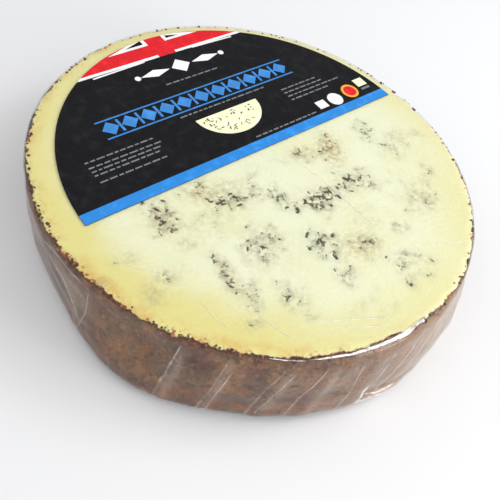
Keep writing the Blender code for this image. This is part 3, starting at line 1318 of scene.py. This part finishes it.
@dataclass
class FilmCreases:
    """The folds, pleat lines and wrinkles that stand on the film, whitened partly as painted highlights,
    with painted highlight strips along the front rim and on the flap.

    Args:
        finish: Their colour.
        creases: All of them.
        steps: How many points each ridge has.
    """

    finish: CreaseFinish = CreaseFinish()
    creases: tuple[Crease, ...] = (
        # Painted highlight in part: each ridge's white stands for the light that a doubled fold catches
        Crease(
            Lie.WALL,
            ((163.6, 27.0), (171.0, 41.0), (178.0, 45.5), (184.0, 46.5), (190.2, 45.5)),
            start=0.3,
            finish=0.6,
            whiteness_and_highlight=0.22,
            wander=0.12,
        ),
        Crease(Lie.WALL, ((190.2, 46.0), (188.7, 27.8), (184.4, 7.2)), 0.38, 0.53, 0.22, 0.12),
        Crease(Lie.WALL, ((174.0, 38.0), (181.0, 31.0), (186.0, 19.0)), 0.22, 0.3, 0.13, 0.12),
        Crease(Lie.WALL, ((213.0, 47.0), (210.2, 23.2), (207.8, 2.0)), 0.38, 0.83, 0.22, 0.12),
        Crease(Lie.WALL, ((223.3, 47.0), (220.1, 20.9), (217.6, 2.0)), 0.45, 0.83, 0.22, 0.12),
        Crease(Lie.WALL, ((224.6, 40.0), (221.8, 22.0), (220.2, 6.0)), 0.3, 0.46, 0.1, 0.12),
        Crease(Lie.WALL, ((235.6, 47.5), (231.9, 30.0), (228.6, 3.0)), 0.45, 0.9, 0.2, 0.12),
        Crease(Lie.WALL, ((237.4, 44.0), (234.0, 26.0), (231.0, 8.0)), 0.3, 0.53, 0.1, 0.12),
        Crease(Lie.WALL, ((244.4, 46.0), (240.4, 24.3), (237.6, 3.0)), 0.38, 0.67, 0.15, 0.12),
        Crease(Lie.WALL, ((253.5, 45.0), (252.5, 16.7), (250.5, 3.0)), 0.38, 0.6, 0.17, 0.12),
        Crease(Lie.WALL, ((262.0, 44.0), (259.5, 26.0), (256.7, 20.0)), 0.3, 0.53, 0.17, 0.12),
        Crease(Lie.WALL, ((270.0, 47.0), (266.0, 30.0), (260.0, 10.0)), 0.3, 0.74, 0.22, 0.12),
        Crease(Lie.WALL, ((278.0, 46.0), (272.0, 28.0), (264.0, 9.0)), 0.3, 0.74, 0.2, 0.12),
        Crease(Lie.WALL, ((288.0, 46.0), (285.5, 26.0), (282.0, 5.0)), 0.38, 0.6, 0.17, 0.12),
        Crease(Lie.WALL, ((300.0, 46.0), (297.5, 26.0), (294.5, 5.0)), 0.38, 0.6, 0.17, 0.12),
        # Painted highlights: the tucked flap's fold lines, painted bright white as glints on the fold
        Crease(Lie.WALL, ((257.3, 22.0), (257.6, 12.0), (256.6, 2.5)), 0.5, 0.8, 0.85),
        Crease(Lie.WALL, ((256.8, 3.0), (260.0, 8.0), (264.0, 5.2), (268.5, 2.0)), 0.6, 0.9, 0.9),
        Crease(Lie.WALL, ((258.0, 14.0), (261.5, 11.0), (266.5, 12.5)), 0.3, 0.5, 0.7),
        # Painted highlights: bright white strips along the front rim, where the film spans the rim's edge
        # and catches the light
        Crease(
            Lie.RIM,
            ((239.7, 104.6), (247.0, 104.5), (254.0, 104.4), (262.0, 104.0), (268.0, 103.4)),
            start=0.35,
            finish=0.9,
            whiteness_and_highlight=1.0,
            wander=0.1,
        ),
        Crease(
            Lie.RIM,
            ((258.0, 103.6), (264.0, 102.9), (269.5, 102.2), (272.0, 102.6)),
            start=0.3,
            finish=1.1,
            whiteness_and_highlight=0.95,
            wander=0.1,
        ),
        Crease(Lie.RIM, ((231.0, 104.6), (235.0, 104.9), (239.0, 104.8)), 0.15, 0.3, 0.7, 0.1),
        Crease(Lie.FACE, ((15.2, 1.7), (18.2, -28.4), (20.6, -56.0)), 0.25, 0.25, 0.3),
        Crease(Lie.FACE, ((-41.7, -76.6), (-33.3, -81.3), (-22.2, -87.7), (-8.2, -95.4)), 0.12, 0.22, 0.6),
        Crease(Lie.FACE, ((-36.0, -84.0), (-27.0, -89.0), (-16.0, -95.5)), 0.12, 0.2, 0.5),
        Crease(Lie.FACE, ((30.9, -75.1), (44.9, -81.9), (57.6, -86.5)), 0.15, 0.2, 0.6),
        Crease(Lie.FACE, ((-54.8, -57.0), (-56.2, -65.9), (-51.0, -82.8)), 0.12, 0.2, 0.5),
        Crease(Lie.FACE, ((-71.7, -46.6), (-71.8, -56.2), (-69.6, -63.8)), 0.12, 0.15, 0.4),
        Crease(Lie.FACE, ((-64.0, -52.0), (-62.5, -60.0), (-64.0, -71.0)), 0.12, 0.15, 0.4),
        Crease(Lie.FACE, ((62.0, -52.0), (70.0, -61.0), (80.0, -66.0)), 0.12, 0.18, 0.4),
        Crease(Lie.FACE, ((-90.0, -8.0), (-84.0, -22.0), (-74.0, -31.0)), 0.12, 0.18, 0.3),
    )
    steps: int = 36

    def route(self, crease: Crease) -> list[Vector]:
        """The ridge's line, sunk so that only its back stands out.

        Args:
            crease: The fold.

        Returns:
            The line's points, in metres.
        """
        stops = np.array(crease.stops)
        knots = np.linspace(0.0, 1.0, len(stops))
        shares = np.linspace(0.0, 1.0, self.steps)
        first = np.interp(shares, knots, stops[:, 0])
        second = np.interp(shares, knots, stops[:, 1])
        smooth = np.array([0.25, 0.5, 0.25])
        for _ in range(4):
            first[1:-1] = np.convolve(first, smooth, "valid")
            second[1:-1] = np.convolve(second, smooth, "valid")
        line = []
        for share, along, across in zip(shares, first, second):
            waver = crease.wander * noise.noise(Vector((share * 6.0, stops[0, 0], stops[0, 1])))
            if crease.lie is Lie.WALL:
                point, normal = PLACE.on_wall(along + waver, across)
            elif crease.lie is Lie.RIM:
                turn = math.radians(along)
                reach = across + waver
                point, normal = PLACE.on_wrap(reach * math.cos(turn), reach * math.sin(turn), 50.3)
            else:
                point, normal = PLACE.on_wrap(along + waver, across, 51.0)
            size = crease.start + (crease.finish - crease.start) * share
            line.append(point - normal * (size * self.taper(share) + 0.01) * MM)
        return line

    @staticmethod
    def taper(share: float) -> float:
        """How much of its width a ridge keeps along its length, thin at both ends."""
        return max(min(share / 0.12, (1.0 - share) / 0.12, 1.0), 0.08)

    def ridge(self, curve: bpy.types.Curve, crease: Crease) -> None:
        """Adds one fold to the curve as a tapered line.

        Args:
            curve: The curve that holds all the folds.
            crease: The fold.
        """
        line = self.route(crease)
        spline = curve.splines.new("POLY")
        spline.points.add(len(line) - 1)
        for index, (point, place) in enumerate(zip(spline.points, line)):
            share = index / (len(line) - 1)
            point.co = (*place, 1.0)
            point.radius = (crease.start + (crease.finish - crease.start) * share) * self.taper(share)

    def build(self) -> bpy.types.Object:
        """Models all the folds as rounded ridges.

        Returns:
            The piece.
        """
        Mesher.clear_selection()
        bpy.ops.curve.primitive_bezier_curve_add(radius=MM)
        piece = bpy.context.object
        curve = piece.data
        curve.splines.clear()
        for crease in self.creases:
            self.ridge(curve, crease)
        curve.bevel_depth = MM
        curve.bevel_resolution = 2
        curve.use_fill_caps = True
        bpy.ops.object.convert(target="MESH")
        bpy.ops.object.transform_apply(location=True, rotation=True, scale=True)
        piece.name = "film_creases_and_highlights"
        piece.data.name = "film_creases_and_highlights"
        mesher = Mesher(piece)
        each = len(piece.data.vertices) // len(self.creases)
        mesher.store("whiteness_and_highlight", np.repeat([crease.whiteness_and_highlight for crease in self.creases], each))
        mesher.smooth(60.0)
        piece.data.materials.append(self.finish.material())
        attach(piece, "root")
        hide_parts("cheese")
        return piece


@dataclass
class Label:
    """The half-round label with its print as thin layers of ink.

    Args:
        chord: The straight edge's distance above the middle, in millimetres.
        thickness: The card's thickness in millimetres.
        ink_lift: How far each layer of ink stands on the one under it.
        dash_rows: The start, the end and the height on the label of each row of dashes.
        dash_seed: The seed of the dashes' lengths.
        half_place: The middle of the cream half disc's straight edge.
        fleck_count: How many flecks it has.
        fleck_seed: The seed of their draw.
    """

    chord: float = 5.7
    thickness: float = 0.3
    ink_lift: float = 0.03
    dash_rows: tuple[tuple[float, float, float], ...] = (
        (-72.0, -36.0, 35.0),
        (-72.0, -34.0, 31.6),
        (-72.0, -36.0, 29.2),
        (-72.0, -38.0, 26.8),
        (-72.0, -40.0, 22.6),
        (43.0, 66.0, 34.6),
        (43.0, 70.0, 31.8),
        (43.0, 80.0, 29.0),
        (43.0, 70.0, 26.2),
        (-17.0, 34.0, 40.4),
        (-9.0, 22.0, 63.0),
        (8.0, 46.0, 13.4),
    )
    dash_seed: int = 3
    half_place: tuple[float, float] = (6.9, 35.4)
    fleck_count: int = 46
    fleck_seed: int = 11

    def at(self, x: float, y: float, level: float) -> tuple[float, float, float]:
        """A world place on the label.

        Args:
            x: Millimetres along X from the middle.
            y: Millimetres along Y.
            level: 0 for the card's underside, 1 for its face, 2 and up for ink.

        Returns:
            The place in metres.
        """
        middle_x, middle_y = PLACE.middle()
        lifts = 0.0 if level == 0 else self.thickness + (level - 1) * self.ink_lift
        return middle_x + x * MM, middle_y + y * MM, PLACE.height() + (0.02 + lifts) * MM

    def block(
        self, x: float, y: float, wide: float, tall: float, level: float, turn: float = 0.0
    ) -> bpy.types.Object:
        """A thin flat bar of ink.

        Args:
            x: Its middle along X, in millimetres.
            y: Its middle along Y.
            wide: Its width.
            tall: Its height on the label.
            level: The layer it lies on.
            turn: Its turn in degrees.

        Returns:
            The object.
        """
        size = Vector((wide, tall, self.ink_lift * 2.0)) * MM
        return BLANKS.copy(BLANKS.bar(), Vector(self.at(x, y, level)), size, turn)

    def spot(
        self, x: float, y: float, radius: float, level: float, sides: int = 48, squash: float = 1.0
    ) -> bpy.types.Object:
        """A thin flat disc or lozenge of ink.

        Args:
            x: Its middle along X, in millimetres.
            y: Its middle along Y.
            radius: Its radius.
            level: The layer it lies on.
            sides: Its sides, 4 for a lozenge.
            squash: Its height over its width.

        Returns:
            The object.
        """
        size = Vector((radius, radius * squash, self.ink_lift * 2.0)) * MM
        return BLANKS.copy(BLANKS.disc(sides), Vector(self.at(x, y, level)), size, 0.0)

    def segment(
        self, low: float, high: float | None, level: float, thick: float, inset: float = 0.0
    ) -> bpy.types.Object:
        """A slice of the label's circle between two heights on the label.

        Args:
            low: Its lower straight edge, in millimetres.
            high: Its upper straight edge, or None up to the arc.
            level: The layer it lies on.
            thick: Its thickness in millimetres.
            inset: How far inside the circle it ends.

        Returns:
            The object.
        """
        middle_x, middle_y = (part / MM for part in PLACE.label_middle)
        x, y, z = self.at(middle_x, middle_y, level)
        Mesher.clear_selection()
        bpy.ops.mesh.primitive_cylinder_add(
            vertices=256,
            radius=PLACE.label_radius - inset * MM,
            depth=thick * MM,
            location=(x, y, z + (thick / 2.0 if level == 0 else 0.0) * MM),
        )
        disc = bpy.context.object
        bpy.ops.object.transform_apply(location=True, rotation=True, scale=True)
        mesher = Mesher(disc)
        mesher.keep_beyond(Vector(self.at(0.0, low, level)), Vector((0.0, 1.0, 0.0)))
        if high is not None:
            mesher.keep_beyond(Vector(self.at(0.0, high, level)), Vector((0.0, -1.0, 0.0)))
        return disc

    def inside(self, part: bpy.types.Object) -> bpy.types.Object:
        """Trims a shape to the flag's field by a Boolean with a thick slice of the label's circle.

        Args:
            part: The shape.

        Returns:
            The same shape, trimmed.
        """
        cutter = self.segment(82.3, None, 2, 4.0, 0.05)
        keep = part.modifiers.new("keep", "BOOLEAN")
        keep.operation = "INTERSECT"
        keep.solver = "EXACT"
        keep.object = cutter
        Mesher(part).apply_all()
        bpy.data.objects.remove(cutter, do_unlink=True)
        return part

    def flag(self) -> dict[Ink, list[bpy.types.Object]]:
        """The plain crossed stripes along the arc's top.

        Returns:
            The shapes of each ink.
        """
        white = [
            self.inside(self.block(5.8, 88.1, 110.0, 12.0, 2.0)),
            self.inside(self.block(5.8, 90.0, 14.6, 20.0, 2.1)),
            self.inside(self.block(24.0, 94.6, 26.0, 2.6, 2.2, -16.0)),
            self.inside(self.block(-15.5, 94.6, 26.0, 2.6, 2.3, 16.0)),
            self.block(-24.0, 81.6, 30.0, 0.9, 2.4, 2.0),
            self.block(34.0, 81.8, 26.0, 0.8, 2.4, -2.0),
        ]
        red = [
            self.inside(self.block(5.8, 88.2, 110.0, 8.4, 3.0)),
            self.inside(self.block(5.8, 90.0, 10.4, 20.0, 3.1)),
            self.inside(self.block(25.0, 94.9, 26.0, 0.9, 3.2, -16.0)),
            self.inside(self.block(-16.5, 94.9, 26.0, 0.9, 3.3, 16.0)),
        ]
        return {Ink.WHITE: white, Ink.RED: red}

    def dashes(self) -> list[bpy.types.Object]:
        """Rows of short grey dashes, each row with its start, its end and its height on the label.

        Returns:
            The dashes.
        """
        draw = np.random.default_rng(self.dash_seed)
        dashes = []
        for start, end, y in self.dash_rows:
            x = start
            while x < end:
                length = draw.uniform(1.6, 4.6)
                dashes.append(self.block(x + length / 2.0, y, length, 0.75, 2))
                x += length + 0.9
        return dashes

    def ornament(self) -> list[bpy.types.Object]:
        """A row of lozenges with upright bars between them, between two rules.

        Returns:
            The shapes.
        """
        count, step, middle = 11, 10.4, 48.8
        parts = [self.block(2.0, y, 114.0, 0.8, 2) for y in (43.2, 54.4)]
        for index in range(count):
            parts.append(self.spot(-50.0 + index * step, middle, 4.4, 2, 4))
            if index < count - 1:
                parts.append(self.block(-44.8 + index * step, middle, 1.3, 8.0, 2))
        return parts

    def crest(self) -> list[bpy.types.Object]:
        """A small ornament: a lozenge between two tapering rules.

        Returns:
            The shapes.
        """
        x, y = 6.8, 72.5
        parts = [self.spot(x, y, 5.6, 2, 4, 0.9)]
        for side in (-1.0, 1.0):
            parts.append(self.spot(x + side * 15.5, y, 8.6, 2, 4, 0.3))
            parts.append(self.spot(x + side * 26.0, y, 1.6, 2, 24))
        return parts

    def flecks(self) -> list[bpy.types.Object]:
        """Small dark flecks scattered over the cream half disc.

        Returns:
            The flecks, each a little higher than the one before.
        """
        draw = np.random.default_rng(self.fleck_seed)
        x_middle, y_middle = self.half_place
        flecks = []
        while len(flecks) < self.fleck_count:
            x, y = draw.uniform(-10.0, 24.0), draw.uniform(20.5, 34.6)
            if ((x - x_middle) / 17.6) ** 2 + ((y - y_middle) / 15.2) ** 2 < 0.88:
                long, wide = draw.uniform(0.7, 2.0), draw.uniform(0.3, 0.7)
                level = 3.0 + 0.02 * len(flecks)
                flecks.append(self.block(x, y, long, wide, level, draw.uniform(0.0, 180.0)))
        return flecks

    def inked(self, ink: Ink, parts: list[bpy.types.Object]) -> bpy.types.Object:
        """Joins one ink's shapes and dresses them.

        Args:
            ink: The ink.
            parts: Its shapes.

        Returns:
            The piece.
        """
        piece = joined("print_" + ink.name.lower(), parts)
        mesher = Mesher(piece)
        mesher.outwards()
        mesher.smooth(30.0)
        piece.data.materials.append(InkFinish(ink).material())
        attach(piece, "root")
        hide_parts("label")
        return piece

    def build(self) -> list[bpy.types.Object]:
        """Models the label.

        Returns:
            The card and one piece for each ink.
        """
        card = self.segment(self.chord, None, 0, self.thickness)
        shapes: dict[Ink, list[bpy.types.Object]] = {Ink.BLACK: [card]}
        band = self.segment(self.chord + 0.05, self.chord + 5.5, 1, self.ink_lift * 3.0, 0.05)
        shapes[Ink.BLUE] = [band]
        shapes.update(self.flag())
        shapes[Ink.SOFT_BLUE] = self.ornament()
        shapes[Ink.WHITE] += self.crest()
        # Plain round and square fields at the right, and the cream half disc with its flecks
        shapes[Ink.WHITE].append(self.spot(65.6, 16.4, 4.4, 2))
        shapes[Ink.WHITE].append(self.block(55.7, 16.4, 6.2, 5.4, 2))
        x, y = self.half_place
        half = self.spot(x, y, 18.8, 2, 96, 0.86)
        Mesher(half).keep_beyond(Vector(self.at(0.0, y, 2)), Vector((0.0, -1.0, 0.0)))
        shapes[Ink.CREAM] = [half, self.block(88.6, 20.6, 6.6, 5.6, 2)]
        shapes[Ink.OLIVE] = self.flecks()
        shapes[Ink.AMBER] = [self.spot(78.0, 17.6, 5.0, 2)]
        shapes[Ink.RED].append(self.spot(78.0, 17.6, 3.6, 3))
        shapes[Ink.GREY] = self.dashes() + [self.block(88.6, 15.8, 6.0, 1.4, 2)]
        return [self.inked(ink, parts) for ink, parts in shapes.items()]


@dataclass
class Studio:
    """A pale floor, soft lights and the camera, which looks down from the front left.

    Args:
        eye: The camera's place, in millimetres from the cut face's middle.
        right: The picture's rightward direction.
        upward: The picture's upward direction.
        lens: The focal length for a 36 mm sensor.
        room: How bright the room is.
        dark_way: The direction of the room's darker patch.
    """

    eye: tuple[float, float, float] = (-191.58, -146.37, 219.51)
    right: tuple[float, float, float] = (0.74952, -0.62731, 0.21144)
    upward: tuple[float, float, float] = (0.39746, 0.68187, 0.61407)
    lens: float = 50.4
    room: float = 1.18
    dark_way: tuple[float, float, float] = (0.54, 0.54, 0.64)

    def camera(self) -> None:
        """Sets up the camera."""
        data = bpy.data.cameras.new("camera")
        data.lens = self.lens
        data.sensor_width = 36.0
        data.clip_start = 0.01
        right = Vector(self.right).normalized()
        upward = Vector(self.upward)
        upward = (upward - upward.dot(right) * right).normalized()
        back = right.cross(upward)
        matrix = Matrix((right, upward, back)).transposed().to_4x4()
        x, y = PLACE.middle()
        matrix.translation = Vector((x, y, PLACE.height())) + Vector(self.eye) * MM
        camera = bpy.data.objects.new("camera", data)
        camera.matrix_world = matrix
        bpy.context.scene.collection.objects.link(camera)
        bpy.context.scene.camera = camera

    def floor(self) -> None:
        """Lays the floor."""
        Mesher.clear_selection()
        bpy.ops.mesh.primitive_plane_add(size=6.0, location=(0.0, 0.0, -0.0002))
        floor = bpy.context.object
        floor.name = "floor"
        floor.data.materials.append(Sheet("pale_floor").surface("E0E0E0", 0.7))

    def lamp(self, name: str, place: tuple[float, float, float], size: float, power: float) -> None:
        """Hangs one soft light, turned to the cheese.

        Args:
            name: Its name.
            place: Where it hangs, in metres.
            size: Its side.
            power: Its power in watts.
        """
        data = bpy.data.lights.new(name, "AREA")
        data.size = size
        data.energy = power
        lamp = bpy.data.objects.new(name, data)
        lamp.location = place
        lamp.rotation_euler = (-Vector(place)).to_track_quat("-Z", "Y").to_euler()
        bpy.context.scene.collection.objects.link(lamp)

    def world(self) -> None:
        """Fills the room with even pale light, with a darker patch where the label's gloss looks."""
        world = bpy.data.worlds.new("room")
        world.use_nodes = True
        bpy.context.scene.world = world
        tree = world.node_tree
        back = tree.nodes["Background"]
        back.inputs["Color"].default_value = (0.97, 0.98, 1.0, 1.0)
        facing = tree.nodes.new("ShaderNodeVectorMath")
        facing.operation = "DOT_PRODUCT"
        facing.inputs[1].default_value = Vector(self.dark_way).normalized()
        tree.links.new(tree.nodes.new("ShaderNodeTexCoord").outputs["Generated"], facing.inputs[0])
        fade = tree.nodes.new("ShaderNodeMapRange")
        fade.interpolation_type = "SMOOTHSTEP"
        fade.inputs["From Min"].default_value = 0.78
        fade.inputs["From Max"].default_value = 0.95
        fade.inputs["To Min"].default_value = self.room
        fade.inputs["To Max"].default_value = self.room * 0.1
        tree.links.new(facing.outputs["Value"], fade.inputs["Value"])
        tree.links.new(fade.outputs["Result"], back.inputs["Strength"])

    def build(self) -> None:
        """Builds the whole studio."""
        self.camera()
        self.floor()
        self.world()
        self.lamp("key", (0.55, -0.42, 0.75), 0.4, 3.0)
        self.lamp("front", (0.32, -0.9, 0.34), 0.3, 3.0)
        bpy.context.scene.view_settings.view_transform = "Standard"


def report(*pieces: bpy.types.Object) -> None:
    """Reports finished pieces."""
    for piece in pieces:
        LOG.info("%s: %d faces", piece.name, len(piece.data.polygons))


def main() -> None:
    """Builds the studio, the cheese, its film and its label, and reports each piece."""
    logging.basicConfig(level=logging.INFO)
    Studio().build()
    LOG.info("studio ready")
    report(*Label().build())
    report(FilmCreases().build())
    report(RindCrumbs().build())
    report(Film().build())
    report(Cheese().build())


if __name__ == "__main__":
    main()
